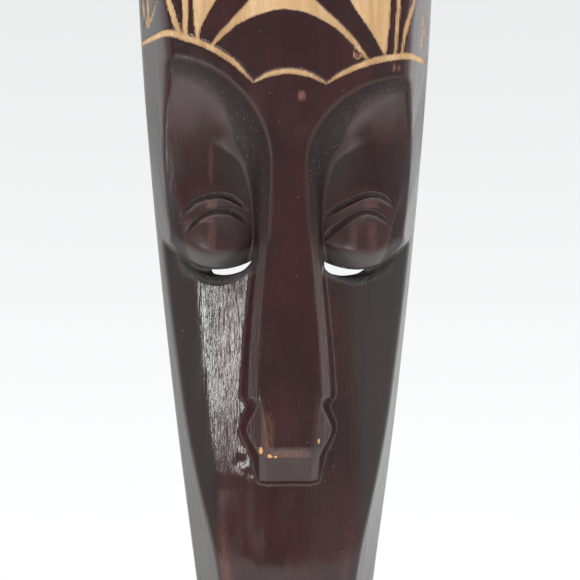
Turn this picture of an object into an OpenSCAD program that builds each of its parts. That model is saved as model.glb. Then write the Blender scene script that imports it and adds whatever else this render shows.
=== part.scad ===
// Carved wooden wall mask: one hollowed block with a face in relief, and the ring hanger on its back.
// The origin is the point on the wall that the hanging hook stands out from.
// +Z runs up the mask, the face looks along -Y, and the wall is the plane y = 0.

/* [Block] */
// Length of the block from chin to crown
mask_l = 500; // [460:5:540]
// Width of the block at its widest, above the brow
mask_w = 146; // [136:1:156]
// Depth of the forehead in front of the wall
brow_d = 47; // [44:0.5:52]
// Depth of the nose tip in front of the wall
nose_d = 54.5; // [50:0.5:60]
// Height of the upright side wall before the bevels start
edge_h = 12; // [9:0.5:15]

/* [Hollow] */
// Thickness of the side walls at the wall face
wall_t = 13; // [11:0.5:16]
// Depth of the hollow behind the face
hollow_d = 24; // [20:0.5:25]

/* [Face] */
// Height of the eye slits above the chin
eye_z = 252.4; // [246:0.2:258]
// Distance of each eye's middle from the centreline
eye_x = 34; // [32:0.5:36]
// Opening of each eye slit
slit_h = 3.2; // [2.6:0.1:4]
// Height of the left brow's top, which the carver set a little higher than the right
brow_left_z = 352; // [346:1:356]
// Height of the right brow's top
brow_right_z = 344; // [338:1:350]
// Height of the nose tip above the chin
nose_z = 164; // [160:1:170]
// Height of the line between the lips
mouth_z = 84; // [78:1:90]

/* [Hanger] */
// Width of the folded strap
strap_w = 10; // [9:0.5:11]
// Thickness of the strap's sheet steel
strap_t = 0.8; // [0.6:0.1:1]
// Diameter of the ring's wire
wire_d = 2; // [1.8:0.1:2.2]
// Width of the ring between the middles of its legs
ring_w = 16; // [15:0.5:18]
// Height of the ring from the middle of its bar to the middle of its crown
ring_h = 15; // [14:0.5:16]
// Diameter of each screw's head
head_d = 6; // [5.5:0.1:6.4]
// Length of each screw below its head
screw_l = 13; // [10:1:15]

/* [Hidden] */

wood_dark = [0.24, 0.15, 0.14];
steel = [0.72, 0.72, 0.70];
brass = [0.78, 0.63, 0.32];

// Outline of the block
half_max = mask_w / 2;
widest_z = 0.82 * mask_l;
chin_h = 0.12 * mask_l;
crown_h = mask_l - widest_z;
round_n = 2.3;
taper = 0.59;

// Side facets: rise of the outer facet and the inner bevel per mm inwards
outer_rise = 2.6;
bevel_rise = 1;
bevel_start = 24;

// Forehead, bridge and nose
root_z = 302;
bridge_half = 8.6;
tip_half = 14.8;
brow_n = 1.9;
socket_x = 57;
forehead_fall = 11;
nose_chamfer = 4.6;
nose_wall = 3.2;
socket_wall = 0.9;
under_nose = 0.8;
wing_x = 14;

// Cheeks, mouth and eyelids
cheek_d = 38.5;
cheek_fall = 7;
mouth_rise = 7;
lip_r = 6.5;
lip_rise = 5;
lid_reach = 20;
lid_inner = 6;
lid_outer = 9;
lid_bevel = 7;
lid_slope = 0.75;
lid_floor = 31;
socket_floor = 29;
socket_climb = 7.5;
lid_swell = 10;

// Hanger, in the pocket behind the crown
pocket_d = 7;
pocket_w = 30;
pocket_top = mask_l - 28;
pocket_low = mask_l - 89;
pocket_corner = 8;
hook_z = mask_l - 45;
wire_r = wire_d / 2;
fit_gap = 0.05;
bar_y = -pocket_d + strap_t + wire_r + fit_gap;
bar_z = hook_z - ring_h + wire_r;
fold_r = wire_r + fit_gap + strap_t;
strap_l = 25;
strap_top_y = -pocket_d + 2 * strap_t;
ring_lean = 3;
screw_drop = [8, 20];
pilot_r = 1.2;
thread_r = 1.75;
shank_r = 1.3;

// Detail of the carved surface
ridge_columns = 7;
wall_columns = 2;
cheek_columns = 8;
hollow_columns = 8;
round_rows = 9;
end_rows = 6;
last_turn = 88.5;

function ease(a, b, x) = let (t = max(0, min(1, (x - a) / (b - a)))) t * t * (3 - 2 * t);
function mix(a, b, t) = a + (b - a) * t;
function soft_min(a, b, k) = let (h = max(0, k - abs(a - b)) / k) min(a, b) - h * h * k / 4;
function soft_max(a, b, k) = -soft_min(-a, -b, k);
function bell(t) = exp(-t * t);

// Half the block's width at a height: a taper, with a superellipse at the crown and at the chin.
function tapered(z) = half_max * (1 - taper * pow(max(0, widest_z - z) / widest_z, 1.4));
function round_off(t) = pow(max(0, 1 - pow(min(1, t), round_n)), 1 / round_n);
function half_w(z) = tapered(z) * (z > widest_z ? round_off((z - widest_z) / crown_h)
    : z < chin_h ? round_off((chin_h - z) / chin_h) : 1);

// How far a point lies inside the outline.
function inset(x, z) =
    let (end = z > widest_z ? (z - widest_z) / crown_h : z < chin_h ? (chin_h - z) / chin_h : 0,
         across = abs(x) / tapered(z))
    tapered(max(z, chin_h)) * (1 - pow(pow(across, round_n) + pow(end, round_n), 1 / round_n));

// Outer side of the block: a steep outer facet, then an inner bevel. Both widen towards the chin.
function outer_facet(d, low, high) = edge_h - 5 * low + (outer_rise - 0.5 * low - 0.4 * high) * d;
function inner_bevel(d, low, high) =
    bevel_start + 5 * low + 2 * high + (bevel_rise - 0.2 * low + 0.5 * high) * d;
function side_depth(x, z) =
    let (d = inset(x, z), low = ease(190, 100, z), high = ease(290, 350, z))
    soft_min(outer_facet(d, low, high), inner_bevel(d, low, high), 2);

// Centreline of the forehead, bridge and nose. The bridge lies 4 mm behind the forehead.
bridge_d = brow_d - 4;
function ridge(z) =
    z > 400 ? brow_d - 9 * pow((z - 400) / 100, 2)
    : z > 360 ? brow_d
    : z > root_z ? mix(bridge_d, brow_d, ease(root_z - 6, 360, z))
    : mix(nose_d, bridge_d, pow(ease(nose_z - 30, root_z + 20, z), 0.85));

// Half width of the bridge and nose.
function nose_half(z) =
    mix(tip_half, bridge_half, ease(nose_z + 20, root_z, z)) - 2 * ease(nose_z - 5, nose_z - 17, z);

// Edge of the forehead, bridge and nose: the brow's quarter arc above the root, the nose below it.
function brow_rise(x) = (x < 0 ? brow_left_z : brow_right_z) - root_z;
function nose_edge(side, z) =
    let (up = min(1, max(0, z - root_z) / brow_rise(side)),
         arc = pow(1 - pow(up, brow_n), 1 / brow_n))
    min(0.8 * half_w(z), z < root_z ? nose_half(z) : socket_x - (socket_x - bridge_half) * arc);

// Distance from that edge out into the eye socket or cheek.
function off_nose(x, z) =
    let (across = max(0, socket_x - abs(x)) / (socket_x - bridge_half),
         up = max(0, z - root_z) / brow_rise(x))
    z > root_z ? (1 - pow(pow(across, brow_n) + pow(up, brow_n), 1 / brow_n)) * 50
    : abs(x) - nose_half(z);

// Forehead, bridge and nose. The nose has a chamfer along each side and a steeper wall below it.
// The brow drops to the sockets in one slope.
function nose_mass(x, z) =
    let (off = max(0, off_nose(x, z)),
         wall = min(off, nose_chamfer) + nose_wall * max(0, off - nose_chamfer))
    ridge(z) - forehead_fall * pow(abs(x) / half_max, 2.6)
    - mix(wall, socket_wall * off, ease(root_z - 40, root_z + 16, z))
    - under_nose * max(0, nose_z + 2 - z);

// Wings of the nostrils.
function wing(x, z) =
    nose_d - 8 - 26 * pow(max(0, abs(x) - wing_x) / 8, 2) - 14 * pow((z - nose_z - 6) / 12, 2);

// Cheeks, chin and the plane under the nose.
function cheek(x, z) =
    mix(cheek_d - 9.5, cheek_d, ease(0, 120, z)) - 1.5 * ease(150, 260, z)
    - cheek_fall * pow(x / half_w(z), 2);

// Mouth: a raised block with two lips.
function dome(x, z) = max(0, 1 - x * x - z * z);
function mouth(x, z) =
    let (drop = z - mouth_z + 1.5 * pow(x / 17, 2))
    cheek(x, z) + mouth_rise * ease(1.2, 0.45, norm([x / 29, (z - mouth_z - 3) / 36]))
    + lip_rise * max(dome(x / 19, drop / lip_r - 0.85), dome(x / 17, drop / lip_r + 0.95));

// Eyelid: a long swelling that is roundest just above the slit. The socket's floor above it climbs
// to meet the brow in the upper outer corner.
function climb(x, z) =
    pow(min(1, max(0, z - root_z + 4 - 0.4 * max(0, 50 - abs(x))) / 48), 1.6)
    * ease(366, 354, z) * ease(75, 62, abs(x));
function lid(x, z) =
    let (low = ease(root_z - 2, eye_z + 10, z),
         middle = mix(44, eye_x + 1, low),
         across = (abs(x) - middle) / mix(19, 17, low))
    mix(socket_floor, lid_floor, low) + mix(lid_swell / 2, lid_swell, low) * bell(across)
    + socket_climb * climb(x, z) - 6 * pow(ease(eye_z + 20, eye_z - 4, z), 2);

// The lower edge of each eyelid, and the bevel below the slit.
function lid_edge(x) =
    let (t = (abs(x) - eye_x) / lid_reach)
    eye_z + (t > 0 ? lid_outer : lid_inner) * t * t;
function bevel_depth(x, z) =
    let (across = 1 - pow((abs(x) - eye_x) / lid_reach, 2))
    across > 0 ? lid_slope * max(0, z - lid_edge(x) + lid_bevel * pow(across, 0.6)) : 0;

// Whole carved surface: the mouth and cheeks below the lid's edge, the lid above it, the nose over both.
function face(x, z) =
    let (above = z - lid_edge(x), lower = mouth(x, z) - (above < 0 ? bevel_depth(x, z) : 0))
    soft_max(mix(lower, lid(x, z), ease(-1, 1, above)),
        soft_max(nose_mass(x, z), z < root_z ? wing(x, z) : 0, 2), 2.5);
function front(x, z) = soft_min(face(x, z), side_depth(x, z), 3);

// Hollow: the same outline inset by the walls, with rounded ends, measured from 1 mm behind the wall face.
hollow_n = 2.6;
hollow_low = 34;
hollow_high = mask_l - 94;
hollow_end = 30;
function hollow_round(z) =
    let (end = max(0, hollow_low + hollow_end - z, z - hollow_high + hollow_end) / hollow_end)
    pow(max(0, 1 - pow(end, hollow_n)), 1 / hollow_n);
function hollow_half(z) = max(half_w(z) - wall_t, 0.5 * half_w(z)) * max(0.3, hollow_round(z));
function hollow(t, z) =
    (hollow_d + 1) * hollow_round(z) * pow(max(0, 1 - pow(abs(t), hollow_n)), 1 / hollow_n) - 1;

// Rows up the block, closer together where the relief is fine.
function spaced(a, b, step) = let (n = round((b - a) / step)) [for (k = [0 : n - 1]) mix(a, b, k / n)];
function turn(k, n) = sin(last_turn * k / n);
chin_rows = [for (k = [round_rows : -1 : 4]) chin_h * (1 - turn(k, round_rows))];
crown_rows = [for (k = [0 : round_rows]) widest_z + crown_h * turn(k, round_rows)];
low_end = [for (k = [end_rows : -1 : 0]) hollow_low + hollow_end * (1 - turn(k, end_rows))];
high_end = [for (k = [0 : end_rows]) hollow_high - hollow_end * (1 - turn(k, end_rows))];
rows = concat(
    chin_rows, [hollow_low - 0.7], low_end,
    spaced(68, mouth_z + 18, 3.8), spaced(mouth_z + 18, 143, 8), spaced(143, 186, 4),
    spaced(186, 238, 10), spaced(238, 262, 2.2), spaced(262, root_z, 6.5), spaced(root_z, 358, 4.5),
    spaced(358, hollow_high - hollow_end, 9), high_end, [hollow_high + 0.7],
    crown_rows);

// Points across one side at a height. They follow the edge of the nose and the foot of its wall.
function half_columns(side, z) =
    let (edge = nose_edge(side, z), out = half_w(z), foot = edge + 0.35 * min(14, out - edge))
    concat(
        [for (k = [1 : ridge_columns]) edge * k / ridge_columns],
        [for (k = [1 : wall_columns]) mix(edge, foot, k / wall_columns)],
        [for (k = [1 : cheek_columns]) mix(foot, out, sin(90 * k / cheek_columns))]);
function columns(z) =
    let (left = half_columns(-1, z))
    concat([for (k = [len(left) - 1 : -1 : 0]) -left[k]], [0], half_columns(1, z));
hollow_turns = [for (k = [hollow_columns : -1 : -hollow_columns]) sin(90 * k / hollow_columns)];

function loop_at(z) = concat(
    [for (x = columns(z)) [x, -front(x, z), z]],
    [[half_w(z), 1, z]],
    [for (t = hollow_turns) [t * hollow_half(z), abs(t) == 1 ? 1 : -hollow(t, z), z]],
    [[-half_w(z), 1, z]]);

// Skin of the block, standing 1 mm past the wall plane, where the wall face then cuts it flat.
module carved_block() {
    loops = [for (z = rows) loop_at(z)];
    n = len(loops[0]);
    m = len(loops);
    ends = [for (z = [rows[0], rows[m - 1]]) [0, -edge_h / 2, z]];
    polyhedron(
        points = concat([for (ring = loops) for (p = ring) p], ends),
        faces = concat(
            [for (j = [0 : m - 2]) for (i = [0 : n - 1])
                for (f = [[j * n + i, (j + 1) * n + i, (j + 1) * n + (i + 1) % n],
                          [j * n + i, (j + 1) * n + (i + 1) % n, j * n + (i + 1) % n]]) f],
            [for (i = [0 : n - 1]) [m * n, i, (i + 1) % n]],
            [for (i = [0 : n - 1]) [m * n + 1, (m - 1) * n + (i + 1) % n, (m - 1) * n + i]]));
}

// Crescent below the eyelid, from the inner corner of the eye (-1) towards the outer one (1).
slit_steps = 8;
module crescent(side, from, to) {
    reach = lid_reach - 1;
    turns = [for (k = [from * slit_steps : to * slit_steps]) k / slit_steps];
    function upper(t) = lid_edge(eye_x + reach * t);
    polygon(concat(
        [for (t = turns) [side * (eye_x + reach * t), upper(t) + 0.01]],
        [for (k = [len(turns) - 1 : -1 : 0]) let (t = turns[k])
            [side * (eye_x + reach * t), upper(t) - slit_h * (1 - t * t)]]));
}

// Eye slit: a blind groove under the whole lid, and its inner half cut through into the hollow.
module eye_slit(side) {
    floor_d = 28;
    translate([0, -floor_d, 0]) rotate([90, 0, 0]) linear_extrude(nose_d) crescent(side, -1, 1);
    translate([0, -2 * pocket_d, 0]) rotate([90, 0, 0]) linear_extrude(floor_d) crescent(side, -1, 0);
}

// Pocket with rounded corners that lets the hanger sit below the wall face.
module hanger_pocket() {
    depth = pocket_d + 2;
    inner_w = pocket_w - 2 * pocket_corner;
    height = pocket_top - pocket_low;
    translate([-pocket_w / 2, -pocket_d, pocket_low + pocket_corner])
        cube([pocket_w, depth, height - 2 * pocket_corner]);
    translate([-inner_w / 2, -pocket_d, pocket_low])
        cube([inner_w, depth, height]);
    for (x = [-inner_w / 2, inner_w / 2]) for (z = [pocket_low + pocket_corner, pocket_top - pocket_corner])
        translate([x, depth - pocket_d, z]) rotate([90, 0, 0])
            cylinder(r = pocket_corner, h = depth, $fn = 48);
}

module mask_body() {
    color(wood_dark) difference() {
        carved_block();
        translate([-mask_w, 0, -10]) cube([2 * mask_w, 10, mask_l + 20]);
        for (side = [-1, 1]) eye_slit(side);
        hanger_pocket();
        for (drop = screw_drop) translate([0, 0, bar_z - drop]) rotate([90, 0, 0])
            cylinder(r = pilot_r, h = pocket_d + screw_l, $fn = 32);
    }
}

// Strip of sheet steel, folded round the ring's bar and screwed down through both layers.
module hanger_strap() {
    end_r = strap_w / 2;
    end_z = bar_z - strap_l + end_r;
    color(steel) difference() {
        union() {
            translate([-strap_w / 2, bar_y, bar_z]) rotate([0, 90, 0])
                cylinder(r = fold_r, h = strap_w, $fn = 48);
            translate([-strap_w / 2, -pocket_d, end_z]) cube([strap_w, strap_t, bar_z - end_z]);
            translate([-strap_w / 2, -pocket_d + strap_t, end_z]) cube([strap_w, strap_t, bar_z - 4 - end_z]);
            translate([-strap_w / 2, 0, 0]) rotate([90, 0, 90]) linear_extrude(strap_w) polygon([
                [-pocket_d + strap_t, bar_z - 4], [strap_top_y, bar_z - 4],
                [bar_y + fold_r * cos(20), bar_z - fold_r * sin(20)], [bar_y, bar_z]]);
            translate([0, strap_top_y, end_z]) rotate([90, 0, 0])
                cylinder(r = end_r, h = 2 * strap_t, $fn = 48);
        }
        translate([-strap_w, bar_y, bar_z]) rotate([0, 90, 0])
            cylinder(r = wire_r + fit_gap, h = 2 * strap_w, $fn = 48);
        for (drop = screw_drop) translate([0, 0, bar_z - drop]) rotate([90, 0, 0])
            cylinder(r = thread_r + 0.15, h = pocket_d + 2, $fn = 32);
    }
}

// D-shaped ring, standing up on its bar and leaning back on the pocket's floor.
module hanger_ring() {
    arc_r = ring_w / 2;
    leg = ring_h - arc_r;
    color(steel) translate([0, bar_y, bar_z]) rotate([ring_lean, 0, 0]) {
        translate([-arc_r, 0, 0]) rotate([0, 90, 0]) cylinder(r = wire_r, h = ring_w, $fn = 48);
        for (side = [-1, 1]) {
            translate([side * arc_r, 0, 0]) cylinder(r = wire_r, h = leg, $fn = 48);
            translate([side * arc_r, 0, 0]) sphere(r = wire_r, $fn = 48);
        }
        translate([0, 0, leg]) rotate([90, 0, 0]) rotate_extrude(angle = 180, $fn = 96)
            translate([arc_r, 0]) circle(r = wire_r, $fn = 48);
    }
}

// Round-headed wood screw with a slot, its axis along Y and its head on the strap.
module wood_screw() {
    head_r = head_d / 2;
    head_h = 2;
    pitch = 1.25;
    turns = floor((screw_l - 3) / pitch);
    difference() {
        union() {
            rotate_extrude($fn = 48) polygon(concat(
                [[0, 0], [head_r, 0], [head_r, 0.5]],
                [for (a = [20 : 20 : 80]) [head_r * cos(a), 0.5 + (head_h - 0.5) * sin(a)]],
                [[0, head_h]]));
            translate([0, 0, -screw_l + 3]) cylinder(r = shank_r, h = screw_l - 3, $fn = 32);
            translate([0, 0, -screw_l]) cylinder(r1 = 0.1, r2 = shank_r, h = 3, $fn = 32);
            for (k = [0 : turns - 3]) translate([0, 0, -screw_l + 3 + k * pitch])
                rotate_extrude($fn = 32) polygon([[0, 0], [thread_r, 0.35], [thread_r, 0.45], [0, 0.8]]);
        }
        translate([-head_r - 1, -0.45, head_h - 0.9]) cube([head_d + 2, 0.9, 2]);
    }
}

module placed_screw(k, turn) {
    color(brass) translate([0, strap_top_y, bar_z - screw_drop[k]])
        rotate([-90, 0, 0]) rotate([0, 0, turn]) wood_screw();
}

module upper_screw() {
    placed_screw(0, 35);
}

module lower_screw() {
    placed_screw(1, -20);
}

translate([0, 0, -hook_z]) {
    mask_body();
    hanger_strap();
    hanger_ring();
    upper_screw();
    lower_screw();
}
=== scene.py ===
import math
import bmesh
import bpy
import numpy as np
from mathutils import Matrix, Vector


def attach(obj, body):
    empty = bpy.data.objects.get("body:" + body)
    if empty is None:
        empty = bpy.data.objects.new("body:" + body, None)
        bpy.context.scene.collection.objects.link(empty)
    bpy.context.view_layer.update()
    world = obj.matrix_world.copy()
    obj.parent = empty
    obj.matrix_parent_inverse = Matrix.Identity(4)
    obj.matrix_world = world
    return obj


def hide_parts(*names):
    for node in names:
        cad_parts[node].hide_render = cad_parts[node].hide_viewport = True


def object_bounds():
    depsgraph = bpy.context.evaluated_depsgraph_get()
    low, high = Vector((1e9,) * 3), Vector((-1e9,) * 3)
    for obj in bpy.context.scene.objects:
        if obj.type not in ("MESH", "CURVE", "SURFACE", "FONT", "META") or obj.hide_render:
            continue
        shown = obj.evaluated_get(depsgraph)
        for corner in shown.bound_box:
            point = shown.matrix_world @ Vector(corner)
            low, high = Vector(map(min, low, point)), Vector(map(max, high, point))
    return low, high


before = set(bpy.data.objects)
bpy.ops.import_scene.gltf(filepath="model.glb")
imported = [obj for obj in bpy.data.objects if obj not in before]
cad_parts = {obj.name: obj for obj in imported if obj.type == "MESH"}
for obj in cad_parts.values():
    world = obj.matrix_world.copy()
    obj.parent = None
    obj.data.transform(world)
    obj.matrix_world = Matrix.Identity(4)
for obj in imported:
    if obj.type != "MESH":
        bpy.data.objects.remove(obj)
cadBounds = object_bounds()
scene = bpy.context.scene
scene.view_settings.view_transform = "Standard"
print("frame loaded:", ", ".join(sorted(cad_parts)))

mm = 0.001  # shapes below are worked out in millimetres, z up from the chin, depth out from the wall

block = {
    "width": 146.0, "hookHeight": 455.0, "widestAt": 410.0, "chinHeight": 60.0, "crownHeight": 90.0,
    "roundPower": 2.3, "taper": 0.59, "taperPower": 1.4, "endTurn": 88.5,
    # side facets: each value at mid height, its change towards the chin, its change towards the brow
    "edgeHeight": (12.0, -5.0, 0.0), "outerRise": (2.6, -0.5, -0.4),
    "bevelStart": (24.0, 5.0, 2.0), "bevelRise": (1.0, -0.2, 0.5), "facetBlend": 1.2,
    "towardsChin": (190, 100), "towardsBrow": (290, 350),
    "wallThickness": 13.0, "hollowDepth": 24.0, "hollowLow": 34.0, "hollowHigh": 406.0,
    "hollowEnd": 30.0, "hollowPower": 2.6, "gougeWidth": 11.0, "gougeStroke": 34.0,
    "pocketDepth": 7.0, "pocketCorner": 8.0, "pocketHalf": 7.0, "pocketTop": 464.0, "pocketLow": 419.0,
}


# sums that every surface is worked out with
def ease(a, b, x):
    # smooth step from 0 at a to 1 at b
    t = np.clip((x - a) / (b - a), 0, 1)
    return t * t * (3 - 2 * t)


def mix(a, b, t):
    return a + (b - a) * t


def softMin(a, b, k):
    # lesser of two, rounded over k where they cross
    h = np.maximum(0, k - np.abs(a - b)) / k
    return np.minimum(a, b) - h * h * k / 4


def softMax(a, b, k):
    return -softMin(-a, -b, k)


def bell(t):
    # 1 at the middle, falling away on both sides
    return np.exp(-t * t)


def drift(x, z, cellX, cellZ, seed):
    # smooth random field: a seeded lattice of values, eased between its corners, about -1 to 1
    across, up = 64, 512
    values = np.random.default_rng(seed).uniform(-1, 1, (across, up))
    gx, gz = x / cellX + across // 2, z / cellZ + 4  # the lattice starts 4 cells below the chin
    ix, iz = np.floor(gx).astype(int), np.floor(gz).astype(int)
    fx, fz = ease(0, 1, gx - ix), ease(0, 1, gz - iz)
    near, far = ix % across, (ix + 1) % across
    low, high = iz % up, (iz + 1) % up
    return mix(mix(values[near, low], values[far, low], fx),
               mix(values[near, high], values[far, high], fx), fz)


# the outline of the block
def tapered(z):
    # half width: full at the brow, drawn in towards the chin by a power of the way down
    down = np.maximum(0, block["widestAt"] - z) / block["widestAt"]
    return block["width"] / 2 * (1 - block["taper"] * down ** block["taperPower"])


def endPart(z):
    # 0 along the sides, rising to 1 at the tip of the crown and of the chin
    crown = (z - block["widestAt"]) / block["crownHeight"]
    chin = (block["chinHeight"] - z) / block["chinHeight"]
    return np.clip(np.maximum(crown, chin), 0, 1)


def halfWidth(z):
    # the taper, closed by a superellipse at both ends
    n = block["roundPower"]
    return tapered(z) * (1 - endPart(z) ** n) ** (1 / n)


def inset(x, z):
    # how far a point lies inside the outline
    n = block["roundPower"]
    across = np.abs(x) / tapered(z)
    return tapered(np.maximum(z, block["chinHeight"])) * (1 - (across ** n + endPart(z) ** n) ** (1 / n))


def facetValue(name, z):
    # a facet's value at mid height, changed towards the chin and towards the brow
    middle, chin, brow = block[name]
    return middle + chin * ease(*block["towardsChin"], z) + brow * ease(*block["towardsBrow"], z)


def sideDepth(x, z):
    # a steep outer facet and a shallower inner bevel, both wider towards the chin
    d = inset(x, z)
    outer = facetValue("edgeHeight", z) + facetValue("outerRise", z) * d
    inner = facetValue("bevelStart", z) + facetValue("bevelRise", z) * d
    return softMin(outer, inner, block["facetBlend"])


# the face
faceShape = {
    "browDepth": 47.0, "bridgeDepth": 43.0, "noseDepth": 54.5, "nosePower": 0.85,
    "foreheadZ": 360.0, "foreheadFall": 11.0, "foreheadPower": 2.6, "crownZ": 400.0, "crownFall": 9.0,
    "rootZ": 302.0, "bridgeHalf": 8.6, "tipHalf": 14.8, "noseZ": 163.0,
    "browLeftZ": 352.0, "browRightZ": 344.0, "socketX": 57.0, "browPower": 1.9, "browReach": 50.0,
    "eyeZ": 252.4, "eyeX": 34.0, "lidReach": 20.0, "innerCurve": 6.0, "outerCurve": 9.0,
    "bevelFall": 7.0, "bevelPower": 0.6, "bevelSlope": 0.45, "rightBevel": 1.2,
}


def ridge(z):
    # centreline: bowed forehead, hollowed bridge, straight nose rising to its tip
    f = faceShape
    crown = f["browDepth"] - f["crownFall"] * (np.maximum(0, z - f["crownZ"]) / 100) ** 2
    bridge = mix(f["bridgeDepth"], f["browDepth"], ease(f["rootZ"] - 6, f["foreheadZ"], z))
    rising = ease(f["noseZ"] - 30, f["rootZ"] + 20, z) ** f["nosePower"]
    nose = mix(f["noseDepth"], f["bridgeDepth"], rising)
    return np.where(z > f["foreheadZ"], crown,
                    mix(nose, bridge, ease(f["rootZ"] - 14, f["rootZ"] + 18, z)))


def noseHalf(z):
    # half width of the nose, from its tip up to the bridge
    f = faceShape
    return mix(f["tipHalf"], f["bridgeHalf"], ease(f["noseZ"] + 20, f["rootZ"], z))


def offNose(x, z):
    # distance out from the brow's quarter arc, or from the side of the nose below it
    f = faceShape
    n = f["browPower"]
    top = np.where(x < 0, f["browLeftZ"], f["browRightZ"]) - f["rootZ"]
    across = np.maximum(0, f["socketX"] - np.abs(x)) / (f["socketX"] - f["bridgeHalf"])
    up = np.maximum(0, z - f["rootZ"]) / top
    arc = (1 - (across ** n + up ** n) ** (1 / n)) * f["browReach"]
    return np.where(z > f["rootZ"], arc, np.abs(x) - noseHalf(z))


noseShape = {
    "wallBreak": 4.6, "wallSlope": 2.2, "scoopDepth": 13.5, "scoopReach": 8.5,
    "flare": 5.8, "flareRise": (163, 177), "flareFall": (192, 176), "nostrilStart": (193, 186),
    "topHalf": 10.6, "topSpread": 2.6, "topFrom": (163, 190),
    "facetSlope": 0.85, "facetHalf": 14.2, "facetWall": 2.4,
    "tipRound": 7.0, "tipBow": 0.057, "tipDrop": 2.8,
    "underSlope": 0.8, "underReach": 18.5, "underWall": 2.4,
}


def noseMass(x, z):
    # forehead, bridge and nose: flat top, chamfered sides, facets over the nostrils, rounded tip cut under
    f, n = faceShape, noseShape
    off = np.maximum(0, offNose(x, z))
    wall = off + n["wallSlope"] * np.maximum(0, off - n["wallBreak"])
    scoop = n["scoopDepth"] * (1 - np.exp(-off / n["scoopReach"]))
    out = np.abs(x)
    flare = n["flare"] * ease(*n["flareRise"], z) * ease(*n["flareFall"], z)
    nostril = ease(*n["nostrilStart"], z)
    top = mix(noseHalf(z), n["topHalf"] + n["topSpread"] * ease(*n["topFrom"], z), nostril)
    facets = (n["facetSlope"] * np.maximum(0, out - top)
              + n["facetWall"] * np.maximum(0, out - n["facetHalf"] - flare))
    wall = mix(wall, facets, nostril)
    drop = mix(wall, scoop, ease(f["rootZ"] - 46, f["rootZ"] + 14, z))
    down = np.maximum(0, f["noseZ"] + n["tipRound"] - z)
    under = (np.where(down < n["tipRound"], n["tipBow"] * down ** 2,
                      n["tipDrop"] + n["underSlope"] * (down - n["tipRound"]))
             + n["underWall"] * np.maximum(0, down - n["underReach"]))
    return ridge(z) - f["foreheadFall"] * (out / (block["width"] / 2)) ** f["foreheadPower"] - drop - under


cheekShape = {
    "chinDepth": 29.0, "fullDepth": 38.5, "fullZ": 120.0, "eyeFall": 1.5,
    "slope": 0.27, "slopeStart": 9.0, "slopeRound": 30.0,
    "creaseAt": 0.69, "creaseDepth": 26.0, "creasePower": 1.5,
}


def cheek(x, z):
    # cheeks fall towards the sides, with a soft crease where they turn to the bevel
    c = cheekShape
    base = mix(c["chinDepth"], c["fullDepth"], ease(0, c["fullZ"], z)) - c["eyeFall"] * ease(150, 260, z)
    across = np.abs(x) / halfWidth(z)
    rounded = np.sqrt((np.abs(x) - c["slopeStart"]) ** 2 + c["slopeRound"])
    flat = c["slope"] * (rounded + np.abs(x) - c["slopeStart"]) / 2 * ease(20, 70, z)
    crease = c["creaseDepth"] * np.maximum(0, across - c["creaseAt"]) ** c["creasePower"] * ease(60, 130, z)
    return base - flat - crease


mouthShape = {
    "height": 84.0, "rise": 1.0, "riseHalf": 21.0, "riseReach": 42.0,
    "lipRadius": 6.5, "lipRise": 5.0, "lipPower": 0.8, "lipBow": 1.5,
    "upperHalf": 19.0, "lowerHalf": 17.0, "upperAt": 0.85, "lowerAt": 0.95,
    "threadRise": 0.16, "threadHalf": 0.7, "threadX": 1.2, "threadLean": 0.04,
}


def mouth(x, z):
    # low raised block, two lips parted by a line, and a thin broken ridge up to the nose
    m = mouthShape
    drop = z - m["height"] + m["lipBow"] * (x / m["lowerHalf"]) ** 2
    away = np.sqrt((x / m["riseHalf"]) ** 4 + ((z - m["height"]) / m["riseReach"]) ** 4) ** 0.5
    rise = m["rise"] * ease(1.3, 0.3, away)
    r = m["lipRadius"]
    upper = np.maximum(0, 1 - (x / m["upperHalf"]) ** 2 - (drop / r - m["upperAt"]) ** 2)
    lower = np.maximum(0, 1 - (x / m["lowerHalf"]) ** 2 - (drop / r + m["lowerAt"]) ** 2)
    beside = (x + m["threadX"] + m["threadLean"] * (146 - z)) / m["threadHalf"]
    thread = m["threadRise"] * bell(beside) * ease(126, 130, z) * ease(149, 145, z)
    return cheek(x, z) + rise + m["lipRise"] * np.maximum(upper, lower) ** m["lipPower"] + thread


def lidEdge(x):
    # lower edge of the lid: a shallow bow, quicker towards the outer corner
    f = faceShape
    t = (np.abs(x) - f["eyeX"]) / f["lidReach"]
    return f["eyeZ"] + np.where(t > 0, f["outerCurve"], f["innerCurve"]) * t * t


def cornerLine(x, z):
    # how far a point lies outside the ridge that runs up from the eye's outer corner
    low = np.where(x < 0, 47.4, 45.8)
    high = np.where(x < 0, 55.4, 55.8)
    return np.abs(x) - mix(low, high, (z - 259) / 35)


lidShape = {
    "topMiddle": 42.0, "topHalf": 22.0, "half": 18.0, "socketFloor": 29.0, "floor": 31.0,
    "topSwell": 3.0, "swell": 9.5, "under": 6.5, "underReach": 9.5, "underPower": 1.7,
    "climb": 7.5, "climbPower": 1.6, "climbZ": 298.0,
    "climbX": 50.0, "climbLean": 0.4, "climbReach": 48.0,
    "gougeSlope": 1.3, "gougeDepth": 4.2, "gougeWidth": 6.5,
}


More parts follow.
